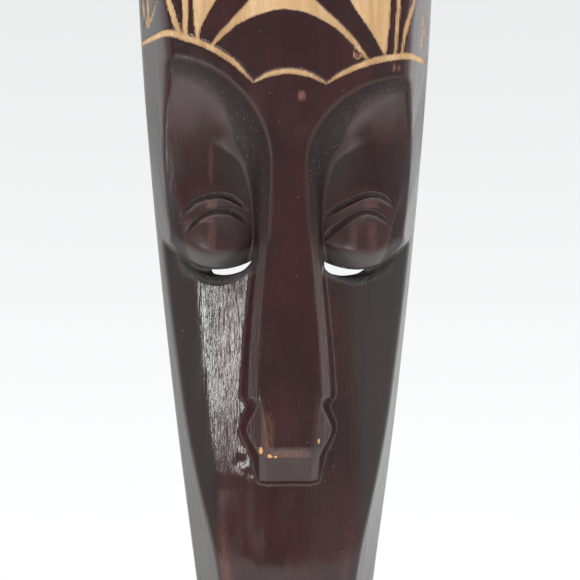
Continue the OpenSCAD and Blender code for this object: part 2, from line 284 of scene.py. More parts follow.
def lid(x, z):
    # long swelling, fullest above the slit, turned under at its lower edge; the socket floor above it rises
    # to meet the brow in the upper outer corner
    f, s = faceShape, lidShape
    low = ease(f["rootZ"] - 2, f["eyeZ"] + 10, z)
    middle = mix(s["topMiddle"], f["eyeX"] + 1, low)
    across = (np.abs(x) - middle) / mix(s["topHalf"], s["half"], low)
    swell = mix(s["socketFloor"], s["floor"], low) + mix(s["topSwell"], s["swell"], low) * bell(across)
    inward = s["climbLean"] * np.maximum(0, s["climbX"] - np.abs(x))
    climb = np.clip((z - s["climbZ"] - inward) / s["climbReach"], 0, 1)
    swell = swell + s["climb"] * climb ** s["climbPower"] * ease(366, 354, z) * ease(75, 62, np.abs(x))
    above = np.maximum(0, z - lidEdge(x))
    under = s["under"] * np.maximum(0, 1 - above / s["underReach"]) ** s["underPower"]
    past = np.maximum(0, cornerLine(x, z))
    width = s["gougeWidth"] * ease(304, 276, z)
    gouge = np.minimum(s["gougeSlope"] * past, s["gougeDepth"]) * np.maximum(0, 1 - past / (width + 0.1))
    return swell - under - gouge * ease(245, 251, z)


lidFolds = [  # middle lines of the folds cut above each eye, as x and z
    [(-51, 277.4), (-45, 284.4), (-37, 287.6), (-28, 287.4), (-19, 281.6)],
    [(-49.5, 268.5), (-43, 276), (-36.5, 279.6), (-27, 280), (-18, 274.6)],
    [(16, 277.4), (26, 283.4), (37, 288.2), (45, 287.6), (51, 282.6)],
    [(16.5, 267.4), (25, 274), (34, 279.4), (42, 279.2), (50, 273.2)],
]


def smoothLine(points, steps=10):
    # Catmull-Rom curve through the points; any further columns ride along
    p = np.array(points, float)
    p = np.vstack([2 * p[0] - p[1], p, 2 * p[-1] - p[-2]])
    t = np.linspace(0, 1, steps, endpoint=False)[:, None]
    parts = [0.5 * (2 * p[k] + (p[k + 1] - p[k - 1]) * t
                    + (2 * p[k - 1] - 5 * p[k] + 4 * p[k + 1] - p[k + 2]) * t ** 2
                    + (3 * p[k] - p[k - 1] - 3 * p[k + 1] + p[k + 2]) * t ** 3)
             for k in range(1, len(p) - 2)]
    return np.vstack(parts + [p[-2][None]])


def strokeDistance(x, z, line):
    # distance to a line of points (x, z, half width), less the half width there
    line = np.asarray(line, float)
    best = np.full(x.shape, 99.0)
    reach = 8.0
    near = ((x > line[:, 0].min() - reach) & (x < line[:, 0].max() + reach)
            & (z > line[:, 1].min() - reach) & (z < line[:, 1].max() + reach))
    nearX, nearZ = x[near], z[near]
    closest = best[near]
    for a, b in zip(line[:-1], line[1:]):
        dx, dz = b[0] - a[0], b[1] - a[1]
        t = np.clip(((nearX - a[0]) * dx + (nearZ - a[1]) * dz) / (dx * dx + dz * dz + 1e-9), 0, 1)
        away = np.hypot(nearX - a[0] - t * dx, nearZ - a[1] - t * dz) - mix(a[2], b[2], t)
        closest = np.minimum(closest, away)
    best[near] = closest
    return best


def areaDistance(x, z, corners):
    # signed distance to a closed outline: below 0 inside it
    p = np.asarray(corners, float)
    q = np.roll(p, -1, 0)
    away = np.full(x.shape, 99.0)
    inside = np.zeros(x.shape, bool)
    for a, b in zip(p, q):
        dx, dz = b - a
        t = np.clip(((x - a[0]) * dx + (z - a[1]) * dz) / (dx * dx + dz * dz + 1e-9), 0, 1)
        away = np.minimum(away, np.hypot(x - a[0] - t * dx, z - a[1] - t * dz))
        crosses = (a[1] > z) != (b[1] > z)
        inside ^= crosses & (x < a[0] + (z - a[1]) * dx / (dz if abs(dz) > 1e-9 else 1e-9))
    return np.where(inside, -away, away)


# the gouged pattern, as (x, z) or (x, z, half width) in millimetres
pattern = {
    "scallops": [
        [(-70.4, 362.9, 0.8), (-65, 363.8, 1.3), (-57, 364, 1.6), (-47, 360.8, 1.5),
         (-37.1, 356.6, 1.4), (-26.2, 349.6, 1.3), (-17, 340.2, 0.3)],
        [(-17, 340.4, 0.4), (-9, 344.2, 1.2), (-0.2, 345.6, 1.3), (9.5, 344, 1.2), (17.5, 339.9, 0.4)],
        [(17.5, 339.9, 0.3), (26, 345.2, 1.2), (37.5, 350.1, 1.4), (47, 352.6, 1.5),
         (54.8, 353.8, 1.5), (61, 354.5, 1.5), (67, 354.6, 1.2)],
    ],
    "archFeet": [
        [(-37.6, 355.6, 0.5), (-33.4, 361.6, 1.0), (-26.6, 368.8, 1.0), (-18.5, 376, 0.9)],
        [(37.8, 351, 0.5), (31, 359.8, 1.0), (23.5, 367.6, 1.0), (16, 374.5, 0.9)],
    ],
    "archArea": [(-37.2, 356.2), (-32.3, 360.8), (-25, 367.2), (-17.2, 371.1), (-7.5, 374.3), (-1.7, 374.8),
                 (7.2, 373.5), (15, 370.1), (21.8, 366.2), (29.6, 358.8), (37, 351),
                 (37.6, 352), (27.8, 364), (17.9, 374), (12, 379.6), (-1.5, 395.5),
                 (-19.2, 378.9), (-28.9, 368.1), (-37, 358.2)],
    "leftWedge": [(-43.6, 358.8), (-44.3, 362.5), (-45.1, 368.6), (-45.5, 379.4), (-46.6, 400),
                  (-47.8, 419.6), (-40, 424.4),
                  (-30, 428.4), (-20, 431), (-10, 432.6), (-4.6, 432.9), (-5.2, 427.5), (-20, 402.6),
                  (-34.2, 379.4), (-38.7, 372.0), (-41.8, 365.4), (-42.2, 358.8)],
    "rightWedge": [(46.2, 353.4), (47.6, 366.7), (48.4, 379.4), (49.6, 400), (50.2, 418.2), (40, 424.4),
                   (30, 428.4), (20, 431), (10, 432.6), (1.2, 433.1), (2, 427.5), (15, 402.5),
                   (28.6, 379.4), (32.5, 373.5), (39.4, 363.8), (45.4, 353.4)],
    "uprights": [
        [(-48.6, 359.8, 0.5), (-49, 364, 1.1), (-49.2, 379.4, 1.6), (-50.6, 400, 1.5), (-51.6, 417, 0.4)],
        [(50.7, 353, 0.6), (51.2, 364, 0.9), (52.4, 379.4, 1.0), (53.6, 400, 1.1), (54, 417, 0.3)],
    ],
    "rays": [
        [(-51.2, 361.6, 1.2), (-54.1, 370, 1.4), (-57, 379.4, 1.3), (-60.4, 389, 0.2)],
        [(53.6, 354, 0.5), (55.9, 366.7, 1.1), (60, 379.4, 0.8), (62.2, 388, 0.2)],
    ],
    "sprigs": [
        [(-70.4, 386, 0.35), (-69.3, 377, 0.5), (-67.4, 369.4, 0.3)],
        [(-62.8, 380.4, 0.3), (-64.6, 375.4, 0.5), (-67, 369.6, 0.3)],
        [(-67.6, 386, 0.3), (-67.2, 378, 0.5), (-67.2, 370.4, 0.25)],
        [(67.6, 377.6, 0.35), (66.3, 371.1, 0.5), (66.9, 366, 0.45), (64.6, 360.4, 0.3)],
        [(65, 366.5, 0.3), (66, 363.6, 0.45), (66.4, 361, 0.3)],
        [(69.2, 371.5, 0.3), (67.6, 368.5, 0.45), (66.8, 366.5, 0.3)],
    ],
    "slip": [[(30.1, 356, 0.15), (31, 352.6, 0.4), (33, 351.7, 0.3), (34.2, 354, 0.3), (36, 353.4, 0.2)]],
    "archCentre": (0.0, 332.0), "archRadius": 104.0, "borderInset": 15.0,
}


def patternStrokes():
    # every line of the pattern; the fan between the arch and the border is spread by angle
    lines = [smoothLine(s) for name in ("scallops", "archFeet", "uprights", "rays", "sprigs", "slip")
             for s in pattern[name]]
    cx, cz = pattern["archCentre"]
    turn = np.radians(np.linspace(-31, 31, 41))
    width = 1.3 * np.cos(np.linspace(-1.45, 1.45, 41)) ** 0.4
    radius = pattern["archRadius"]
    lines.append(np.c_[cx + radius * np.sin(turn), cz + radius * np.cos(turn), width])
    heights = block["widestAt"] + 74.5 * np.sin(np.radians(np.linspace(-17, 90, 40)))
    side = np.maximum(0, halfWidth(np.minimum(heights + 15 * ease(430, 485, heights), 499.6))
                      - pattern["borderInset"])
    side = np.where(heights > 484.2, 0, side)
    width = 1.3 * np.minimum(1, np.linspace(0.1, 12, 40))
    for hand in (-1, 1):
        lines.append(np.c_[hand * side, heights, width])
    for k, angle in enumerate(np.radians(np.linspace(-36, 36, 13))):
        reach = np.linspace(radius + 6, radius + 60, 60)
        fx, fz = cx + reach * np.sin(angle), cz + reach * np.cos(angle)
        room = np.where(inset(fx, fz) > pattern["borderInset"] + 6)[0]
        last = room[-1] if len(room) else 0
        if last > 8:
            t = np.linspace(0, 1, 9)
            r = mix(reach[0], reach[last], t)
            leaf = (1.7 if k % 2 == 0 else 1.1) * np.sin(np.pi * (0.08 + 0.86 * t))
            lines.append(np.c_[cx + r * np.sin(angle), cz + r * np.cos(angle), leaf])
    for hand in (-1, 1):  # sprigs going on up the side facets
        for z in (393, 408, 423):
            foot = np.array([hand * (float(halfWidth(np.array(z))) - 5.5), z])
            for lean, reach in ((-2.6, 9), (0.4, 10.5), (3.0, 9)):
                tip = foot + [hand * lean, reach]
                middle = (foot + tip) / 2
                lines.append(np.array([(*foot, 0.3), (*middle, 0.5), (*tip, 0.25)]))
    return lines


def cutDistance(x, z):
    # distance to the nearest gouged line or cleared field: below 0 where the wood is bare
    best = np.full(x.shape, 30.0)
    upper = z > 330
    highX, highZ = x[upper], z[upper]
    wobble = 0.09 * drift(highX, highZ, 3.1, 2.3, 5) + 0.09 * drift(highX, highZ, 1.2, 1.1, 6)
    closest = np.full(highX.shape, 30.0)
    for line in patternStrokes():
        closest = np.minimum(closest, strokeDistance(highX, highZ, line))
    for name in ("archArea", "leftWedge", "rightWedge"):
        closest = np.minimum(closest, areaDistance(highX, highZ, pattern[name]))
    best[upper] = closest + wobble
    return best


folds = {
    "width": 1.7, "depth": 2.1, "steepPart": 0.62,
    "lowerDrop": 0.7, "lowerWidth": 0.9, "lowerDepth": 0.65,
}


def foldCut(x, z):
    # folds over the lids, 0 to 1: a steep upper wall and a longer lower one
    cut = np.zeros(x.shape)
    for line in lidFolds:
        smooth = smoothLine(line)
        ends = np.minimum(np.arange(len(smooth)), np.arange(len(smooth))[::-1])
        width = folds["width"] * np.minimum(1, ends / 9 + 0.25)
        upper = np.c_[smooth, width * folds["steepPart"]]
        steep = np.clip(-strokeDistance(x, z, upper) / folds["width"] / folds["steepPart"], 0, 1)
        lower = np.c_[smooth[:, 0], smooth[:, 1] - folds["lowerDrop"], width * folds["lowerWidth"]]
        gentle = np.clip(-strokeDistance(x, z, lower) / folds["width"], 0, 1)
        cut = np.maximum(cut, np.maximum(steep, folds["lowerDepth"] * gentle))
    return cut


def eyeNotch(x, z):
    # 0 to 1 over the dark facet cut outside each eye's corner ridge
    past = cornerLine(x, z)
    return ease(-0.6, 0.8, past) * ease(7, 1.5, past) * ease(300, 276, z) * ease(246, 253, z)


def faceDepth(x, z):
    # forehead and nose joined to the lids, or to the cheeks below them, with a bevel under each slit
    f = faceShape
    above = z - lidEdge(x)
    t = (np.abs(x) - f["eyeX"]) / f["lidReach"]
    arch = np.maximum(0, 1 - t * t)
    fall = f["bevelFall"] * arch ** f["bevelPower"] + np.where(x > 0, f["rightBevel"], 0) * arch
    bevel = np.where(above < 0, f["bevelSlope"] * np.maximum(0, above + fall), 0)
    face = mix(mouth(x, z) - bevel, lid(x, z), ease(-0.5, 0.5, above))
    return softMax(face, noseMass(x, z), 1.6 + 3.4 * ease(292, 318, z))


toolMarks = {
    "notchDepth": 2.6, "cutDepth": 1.1, "cutEdge": 0.55,
    "broad": 0.13, "narrow": 0.05, "chiselBroad": 0.22, "chiselFine": 0.14, "socketWall": 0.16,
}


def frontDepth(x, z):
    # the whole carved surface, then the folds, the gouge cuts and the unevenness that the tools leave
    marks = toolMarks
    side = sideDepth(x, z) - marks["notchDepth"] * eyeNotch(x, z)
    depth = softMin(faceDepth(x, z), side, 1.0 + 5 * ease(318, 350, z))
    depth = depth - folds["depth"] * foldCut(x, z)
    bare = np.maximum(0, -cutDistance(x, z))
    depth = depth - marks["cutDepth"] * (1 - np.exp(-bare / marks["cutEdge"]))
    uneven = marks["broad"] * drift(x, z, 9, 34, 11) + marks["narrow"] * drift(x, z, 3.5, 15, 12)
    besideNose = bell((np.abs(x) - 19.5) / 4.5) * ease(196, 184, z) * ease(147, 158, z)
    chisel = marks["chiselBroad"] * drift(x, z, 3.2, 5.5, 15)
    chisel = chisel + marks["chiselFine"] * drift(x, z, 1.7, 3.1, 16)
    inWall = np.clip(0.5 * (noseMass(x, z) - lid(x, z)) - 0.6, 0, 1)
    inWall = inWall * ease(262, 276, z) * ease(0, 3, offNose(x, z))
    rough = marks["socketWall"] * drift(x, z, 1.5, 1.9, 17) * inWall * (z > lidEdge(x))
    return depth + uneven * ease(0, 6, inset(x, z)) + chisel * besideNose + rough


def hollowDepth(x, z):
    # scooped back: superellipse across and at both ends, with the gouge's overlapping strokes
    b = block
    n = b["hollowPower"]
    past = np.maximum(b["hollowLow"] + b["hollowEnd"] - z, z - b["hollowHigh"] + b["hollowEnd"])
    end = np.clip(past / b["hollowEnd"], 0, 1)
    rounding = (1 - end ** n) ** (1 / n)
    half = np.maximum(halfWidth(z) - b["wallThickness"], 0.5 * halfWidth(z)) * np.maximum(0.3, rounding)
    bow = np.maximum(0, 1 - np.minimum(1, np.abs(x) / half) ** n) ** (1 / n)
    deep = b["hollowDepth"] * rounding * bow
    lane = np.sin(np.pi * (x / b["gougeWidth"] + 0.35 * drift(x, z, 30, 60, 21)))
    stroke = np.sin(np.pi * (z / b["gougeStroke"] + 2.3 * drift(x, z, 10, 400, 22)))
    marks = 0.55 * np.abs(lane) + 0.5 * np.abs(stroke)
    return np.maximum(0, deep - marks * ease(2, 9, deep))


# the mask block: how many columns and rows its grids have; each span of rows is (from, to, count)
detail = {
    "acrossFront": 160, "acrossBack": 56, "backEvery": 4, "endRows": 13, "wallSteps": (0.06, 0.3, 0.62, 0.9),
    "spans": [(60, 118, 40), (118, 146, 22), (146, 194, 60), (194, 238, 27), (238, 296, 74),
              (296, 336, 40), (336, 434, 118), (434, 488, 56)],
}


def rowHeights():
    # heights of the rows, closer where the carving is fine; the count less one is a multiple of backEvery
    ends = np.sin(np.radians(np.linspace(0, block["endTurn"], detail["endRows"])))
    chin = block["chinHeight"] * (1 - ends[::-1])
    last = detail["spans"][-1][1] - block["widestAt"]
    top = block["crownHeight"] * np.sin(np.radians(block["endTurn"]))
    rest = 12 * ends * (top - last) / (12 * ends[-1])
    crown = block["widestAt"] + last + rest
    middle = np.concatenate([np.linspace(a, b, n, endpoint=False) for a, b, n in detail["spans"]])
    rows = np.concatenate([chin[:-1], middle, crown])
    spare = (len(rows) - 1) % detail["backEvery"]
    return np.delete(rows, np.arange(20, 20 + 2 * spare, 2)) if spare else rows


def makeObject(name, points, faces, smooth=True):
    # one mesh object from a list of points in metres and a list of faces
    mesh = bpy.data.meshes.new(name)
    mesh.from_pydata(points.tolist(), [], faces)
    mesh.validate()
    if smooth:
        mesh.shade_smooth()
    piece = bpy.data.objects.new(name, mesh)
    scene.collection.objects.link(piece)
    return piece


def toFrame(x, depth, z):
    # millimetres on the block to metres in the shared frame
    return np.stack([x * mm, -depth * mm, (z - block["hookHeight"]) * mm], -1).reshape(-1, 3)


def gridFaces(rows, columns, start=0):
    # four-sided faces of a grid whose points are numbered row by row from start
    j, i = np.meshgrid(np.arange(rows - 1), np.arange(columns - 1), indexing="ij")
    a = (start + j * columns + i).ravel()
    return np.c_[a, a + 1, a + columns + 1, a + columns]


def frontGrid(rows):
    # x and depth of the front: even columns drawn towards the edges, then down each upright side wall
    u = np.linspace(-1, 1, detail["acrossFront"] + 1)
    u = u - 0.09 * np.sin(np.pi * u)
    x = u[None] * halfWidth(rows)[:, None]
    depth = np.maximum(2.0, frontDepth(x, np.broadcast_to(rows[:, None], x.shape)))
    wall = np.array(detail["wallSteps"])
    left, right = depth[:, :1] * wall, depth[:, -1:] * wall[::-1]
    x = np.hstack([np.repeat(x[:, :1], len(wall), 1), x, np.repeat(x[:, -1:], len(wall), 1)])
    return x, np.hstack([left, depth, right])


def backGrid(rows):
    # x of the back's columns: a narrow rim on each side, and the hollow spaced by the sine of an even turn
    t = np.sin(np.linspace(-np.pi / 2, np.pi / 2, detail["acrossBack"] - 3))
    half = np.maximum(halfWidth(rows) - block["wallThickness"], 0.5 * halfWidth(rows))
    rim = (halfWidth(rows) - np.minimum(0.7, 0.3 * halfWidth(rows)))[:, None]
    return np.hstack([-rim, t[None] * half[:, None], rim])


def buildBlock():
    # front and back grids, joined down both sides and closed with a fan at the chin and at the crown
    rows, step = rowHeights(), detail["backEvery"]
    x, depth = frontGrid(rows)
    count, across = x.shape
    front = toFrame(x, depth, np.broadcast_to(rows[:, None], x.shape))
    faces = gridFaces(count, across).tolist()
    backX = backGrid(rows[::step])
    backZ = np.broadcast_to(rows[::step, None], backX.shape)
    back = toFrame(backX, hollowDepth(backX, backZ), backZ)
    start = len(front)
    backRows, backAcross = backX.shape
    faces += gridFaces(backRows, backAcross, start)[:, ::-1].tolist()
    # each side strip joins a few front rows to one back row
    for k in range(backRows - 1):
        j = k * step
        b0, b1 = start + k * backAcross, start + (k + 1) * backAcross
        faces.append([b0] + [(j + s) * across for s in range(step + 1)] + [b1])
        faces.append([b1 + backAcross - 1] + [(j + s) * across + across - 1 for s in range(step, -1, -1)]
                     + [b0 + backAcross - 1])
    ends = toFrame(np.zeros(2), np.full(2, 6.0), rows[[0, -1]])
    tip = start + len(back)
    for centre, f0, b0, flip in ((tip, 0, start, 1), (tip + 1, (count - 1) * across, tip - backAcross, -1)):
        ring = list(range(f0, f0 + across)) + list(range(b0 + backAcross - 1, b0 - 1, -1))
        for a, b in zip(ring, ring[1:] + ring[:1]):
            faces.append([centre, b, a] if flip > 0 else [centre, a, b])
    return makeObject("maskBlock", np.vstack([front, back, ends]), faces)


eyeCuts = {  # distance from the middle and height of the cut below the lid's edge
    "leftSlit": [(36.4, 0.5), (35.4, 1.8), (33, 2.4), (28.5, 2.9), (22, 2.8), (19, 1.6), (17.2, 0.1)],
    "rightSlit": [(17.6, 2.6), (18.3, 3.6), (20.7, 4.3), (25.4, 3.9), (30.2, 2.8), (34.5, 1.7), (37.8, 0.1)],
    "leftGroove": [(53.5, 0.2), (50, 1.6), (45, 2.6), (38, 3.0), (30, 3.2), (22, 3.1), (19, 1.8), (17, 0.1)],
    "rightGroove": [(17.4, 2.8), (18.3, 3.9), (20.7, 4.6), (26, 4.3), (34, 3.4), (42, 2.8), (48, 1.8),
                    (52, 0.2)],
}


def prism(name, outline, frontMost, backMost):
    # an outline of (x, z) swept straight through from frontMost to backMost depth
    m = len(outline)
    points = np.vstack([toFrame(outline[:, 0], np.full(m, frontMost), outline[:, 1]),
                        toFrame(outline[:, 0], np.full(m, backMost), outline[:, 1])])
    faces = [[k, (k + 1) % m, m + (k + 1) % m, m + k] for k in range(m)]
    faces += [list(range(m))[::-1], list(range(m, 2 * m))]
    return makeObject(name, points, faces, smooth=False)


def slitCutter(side, name, frontMost, backMost, lift=0.0):
    # crescent under the lid's edge; lift sets a groove's outline just outside its slit's
    path = smoothLine(eyeCuts[name], 6)
    upper = lidEdge(path[:, 0]) + lift
    lower = lidEdge(path[:, 0]) - 0.03 - lift - np.maximum(0.02, path[:, 1])
    outline = np.r_[np.c_[side * path[:, 0], upper], np.c_[side * path[:, 0], lower][::-1]]
    return prism(name, outline, frontMost, backMost)


def pocketCutter():
    # rounded rectangle with its corners on quarter arcs, sunk into the wall face
    b, r = block, block["pocketCorner"]
    turns = np.radians(np.arange(0, 91, 9))
    half, top, low = b["pocketHalf"], b["pocketTop"], b["pocketLow"]
    centres = [(half, top, 0), (-half, top, 90), (-half, low, 180), (half, low, 270)]
    outline = np.vstack([np.c_[cx + r * np.cos(turns + np.radians(a)), cz + r * np.sin(turns + np.radians(a))]
                         for cx, cz, a in centres])
    return prism("pocketCutter", outline, b["pocketDepth"], -3.0)


def outward(piece):
    # doubles merged and every face turned outwards
    bpy.context.view_layer.objects.active = piece
    for other in bpy.context.selected_objects:
        other.select_set(False)
    piece.select_set(True)
    bpy.ops.object.mode_set(mode="EDIT")
    bpy.ops.mesh.select_all(action="SELECT")
    bpy.ops.mesh.remove_doubles(threshold=1e-7)
    bpy.ops.mesh.normals_make_consistent(inside=False)
    bpy.ops.object.mode_set(mode="OBJECT")
    piece.select_set(False)


def cutAway(piece, cutters):
    # the piece less every cutter in turn
    for cutter in cutters:
        outward(cutter)
        cut = piece.modifiers.new("cut", "BOOLEAN")
        cut.operation = "DIFFERENCE"
        cut.solver = "MANIFOLD"
        cut.object = cutter
        bpy.context.view_layer.objects.active = piece
        bpy.ops.object.modifier_apply(modifier=cut.name)
        bpy.data.objects.remove(cutter)
    # slivers left where two cuts run together are welded away
    shape = bmesh.new()
    shape.from_mesh(piece.data)
    bmesh.ops.remove_doubles(shape, verts=shape.verts, dist=3e-6)
    bmesh.ops.dissolve_degenerate(shape, edges=shape.edges, dist=3e-6)
    shape.to_mesh(piece.data)
    shape.free()
    piece.data.validate()


maskBlock = buildBlock()
outward(maskBlock)
print("mask block:", len(maskBlock.data.polygons), "faces before the slits and the pocket")
cutAway(maskBlock, [
    slitCutter(-1, "leftSlit", 60, 10), slitCutter(1, "rightSlit", 60, 10),
    slitCutter(-1, "leftGroove", 60, 26, 0.09), slitCutter(1, "rightGroove", 60, 26, 0.09),
    pocketCutter(),
])
print("mask block:", len(maskBlock.data.polygons), "faces after them")


# values stored on the mesh, which the finish reads
def storeValues(piece, name, values):
    # one number for each point of the mesh, under a name the finish asks for
    attribute = piece.data.attributes.new(name, "FLOAT", "POINT")
    attribute.data.foreach_set("value", np.asarray(values, np.float32))


rubbedSpots = [  # x, z, half width, half height and strength of chips and scuffs showing red-brown wood
    (5.9, 334.2, 1.8, 2.5, 1.0), (50.4, 348.2, 0.7, 2.2, 0.8), (52.6, 347.6, 0.6, 1.8, 0.8),
    (31.6, 353.4, 1.4, 1.2, 0.9), (-36.6, 283.2, 3.0, 2.2, 0.4), (-36.5, 268, 2.4, 8, 0.22),
    (-38.5, 275.4, 4.0, 1.2, 0.35), (40, 268, 2.6, 8, 0.2), (31, 268, 2.0, 7, 0.15),
    (40, 283.6, 4.0, 2.4, 0.22),
    (-37, 303, 1.2, 11, 0.2), (-10.5, 175, 3.6, 12, 0.28), (0, 165.8, 11, 2.2, 0.4),
]


tipSpots = [  # the same for bare wood at the tip of the nose
    (-13.6, 167.4, 1.1, 2.0, 1.0), (-9.4, 164.8, 1.6, 0.9, 1.0), (-6.8, 164.4, 0.9, 0.6, 1.0),
    (13.6, 171.6, 0.7, 1.5, 1.0),
]

wear = {
    # the crease down each cheek, left then right: its distance from the outline, how far it is rubbed
    "creaseInset": (15.0, 17.0), "creaseRub": (0.35, 0.12), "noseRub": 0.065, "bandGrain": 0.45,
    "crestDull": 2.8, "brinkDull": 1.6, "footDull": 2.2, "noseEdgeDull": 1.6, "underNoseGloss": 0.45,
}


def spotStrength(x, z, spots, power):
    # strongest of some oval spots, each fading from its middle to nothing at its rim
    best = np.zeros(x.shape)
    for cx, cz, rx, rz, strength in spots:
        best = np.maximum(best, strength * (1 - ((x - cx) / rx) ** power - ((z - cz) / rz) ** power))
    return np.clip(best, 0, 1)


def rubbedWood(x, z, safeX):
    # chips and scuffs, a rubbed crease down each cheek, and the nose worn by handling
    crease = np.abs(inset(safeX, z) - np.where(x < 0, *wear["creaseInset"]))
    worn = ease(4, 0, crease) * ease(142, 104, z) * ease(40, 70, z) * np.where(x < 0, *wear["creaseRub"])
    handled = wear["noseRub"] * bell(x / 11) * bell((z - 176) / 15)
    return np.maximum(spotStrength(x, z, rubbedSpots, 4), np.maximum(worn, handled))


def endGrainShadeWall(x, z, meets, foot):
    # cross-cut wood, its stain darkened further as painted shade: the walls beside the bridge down to the
    # socket floor, the steep folds and the notches
    off = offNose(x, z)
    wall = np.maximum(ease(0, 1.5, foot), ease(10, 4.5, off) * ease(288, 312, z))
    wall = wall * ease(-0.6, 1.6, off) * ease(258, 275, z) * ease(-0.5, 1.5, meets)
    steepFold = np.clip(1.6 * foldCut(x, z - 0.4), 0, 1)
    return np.maximum(wall, np.maximum(steepFold, eyeNotch(x, z)))


def dullness(x, z, meets, foot):
    # greatest of lids, corner gouges, side crest, wall brink, wall foot and nose edge; less under the nose
    off, past = offNose(x, z), cornerLine(x, z)
    noseEdge = np.abs(np.abs(x) - noseShape["topHalf"] - noseShape["topSpread"] * ease(163, 190, z))
    dull = np.maximum.reduce([
        ease(20, 14, np.abs(np.abs(x) - 34)) * ease(248, 254, z) * ease(286, 274, z),
        ease(-4, -1, past) * ease(9, 5, past) * ease(246, 252, z) * ease(352, 330, z),
        wear["crestDull"] * ease(3.2, 0.6, np.abs(meets)) * ease(262, 275, z) * ease(372, 360, z),
        wear["brinkDull"] * ease(2.4, 0.4, np.abs(off)) * ease(262, 272, z) * ease(-0.5, 1.5, meets),
        wear["footDull"] * ease(2.4, 0.5, np.abs(foot)) * ease(258, 268, z) * ease(320, 308, z),
        wear["noseEdgeDull"] * ease(2.2, 0.6, noseEdge) * ease(158, 163, z) * ease(198, 188, z),
    ])
    return dull - wear["underNoseGloss"] * ease(158, 146, z) * ease(96, 112, z)


def finishMasks(piece):
    # every value is worked out from a point's place on the block, and kept to the front or to the back
    place = np.empty(len(piece.data.vertices) * 3)
    piece.data.vertices.foreach_get("co", place)
    place = place.reshape(-1, 3) / mm
    x, depth, z = place[:, 0], -place[:, 1], place[:, 2] + block["hookHeight"]
    safeX = np.clip(x, -halfWidth(z) * 0.999, halfWidth(z) * 0.999)
    side, hollow = sideDepth(safeX, z), hollowDepth(safeX, z)
    onFront = (depth > np.minimum(9.0, 0.55 * side)) & (depth > hollow + 3)
    meets = side - faceDepth(safeX, z)
    foot = noseMass(x, z) - lid(x, z)
    bare = ease(8.5, 5.5, depth) + ease(2.5, 0.5, depth - hollow)
    # side facets: base darkened and greyed as painted shade, standing for the grey sheen they catch
    shadedBand = ease(1.2, -0.6, depth - side - 0.2) * ease(33, 30, depth)
    grain = ease(10, 16, np.abs(x)) * ease(262, 250, z) * ease(146, 156, z)
    grain = grain * ease(0.72, 0.66, np.abs(x) / halfWidth(z))
    grain = np.maximum(grain, wear["bandGrain"] * ease(9.5, 7.5, inset(safeX, z)))
    above = z - lidEdge(x)
    # grey painted reflection on the underside of each lid and on the bevel below the slit
    lidSheen = ease(-8, -6.5, above) * ease(8.5, 4.5, above) * ease(22, 16, np.abs(np.abs(x) - 34))
    storeValues(piece, "cutDistance", np.where(onFront, cutDistance(x, z), 30.0))
    storeValues(piece, "rubbed", np.where(onFront, rubbedWood(x, z, safeX), 0))
    storeValues(piece, "bareBack", np.where(onFront, 0.0, bare))
    storeValues(piece, "wornTip", np.where(onFront, spotStrength(x, z, tipSpots, 2), 0))
    # end grain on the socket walls, folds and notches, its darkness partly painted shade
    storeValues(piece, "endGrainShade", np.where(onFront & (z < 356), endGrainShadeWall(x, z, meets, foot), 0))
    storeValues(piece, "sideShadeBand", np.where(onFront & (z < 420), shadedBand, 0))
    storeValues(piece, "raisedGrain", np.where(onFront, grain, 0))
    storeValues(piece, "dullness", np.where(onFront, dullness(x, z, meets, foot), 0))
    storeValues(piece, "paintedLidSheen", np.where(onFront, lidSheen, 0))


finishMasks(maskBlock)


# short ways to make nodes
def nodeTree(name):
    # a material with one shader joined to its output
    material = bpy.data.materials.new(name)
    material.use_nodes = True
    tree = material.node_tree
    tree.nodes.clear()
    output = tree.nodes.new("ShaderNodeOutputMaterial")
    shader = tree.nodes.new("ShaderNodeBsdfPrincipled")
    tree.links.new(shader.outputs["BSDF"], output.inputs["Surface"])
    return material, tree, shader


def addNode(tree, kind, inputs=None, **settings):
    # a node with its inputs joined to sockets or set to values
    node = tree.nodes.new("ShaderNode" + kind)
    for key, value in settings.items():
        setattr(node, key, value)
    for key, value in (inputs or {}).items():
        if isinstance(value, bpy.types.NodeSocket):
            tree.links.new(value, node.inputs[key])
        else:
            node.inputs[key].default_value = value
    return node


def sums(tree, operation, a, b=0.0, clamp=False):
    return addNode(tree, "Math", {0: a, 1: b}, operation=operation, use_clamp=clamp).outputs[0]


def times(tree, a, b, clamp=False):
    return sums(tree, "MULTIPLY", a, b, clamp)


def plus(tree, a, b):
    return sums(tree, "ADD", a, b)


def remap(tree, value, fromLow, fromHigh, toLow=0.0, toHigh=1.0, smooth=False):
    # one range turned into another, held at both ends
    return addNode(tree, "MapRange", {"Value": value, "From Min": fromLow, "From Max": fromHigh,
                                      "To Min": toLow, "To Max": toHigh},
                   interpolation_type="SMOOTHSTEP" if smooth else "LINEAR").outputs["Result"]


def noise(tree, vector, scale, steps, roughness=0.5, distortion=0.0):
    return addNode(tree, "TexNoise", {"Vector": vector, "Scale": scale, "Detail": steps,
                                      "Roughness": roughness, "Distortion": distortion}).outputs["Fac"]


def stored(tree, name):
    # a value kept on the mesh by finishMasks
    return addNode(tree, "Attribute", attribute_name=name).outputs["Fac"]


def blendColour(tree, factor, a, b):
    # colour a, turning into colour b as the factor goes from 0 to 1
    node = addNode(tree, "Mix", {0: factor}, data_type="RGBA", blend_type="MIX")
    for key, value in ((6, a), (7, b)):
        if isinstance(value, bpy.types.NodeSocket):
            tree.links.new(value, node.inputs[key])
        else:
            node.inputs[key].default_value = (*value, 1)
    return node.outputs[2]


def newGroup(name, inputs, outputs):
    # a reusable effect with named inputs and outputs
    group = bpy.data.node_groups.new(name, "ShaderNodeTree")
    for label, kind, value in inputs:
        socket = group.interface.new_socket(name=label, in_out="INPUT", socket_type="NodeSocket" + kind)
        if value is not None:
            socket.default_value = value
    for label, kind in outputs:
        group.interface.new_socket(name=label, in_out="OUTPUT", socket_type="NodeSocket" + kind)
    return group, group.nodes.new("NodeGroupInput"), group.nodes.new("NodeGroupOutput")


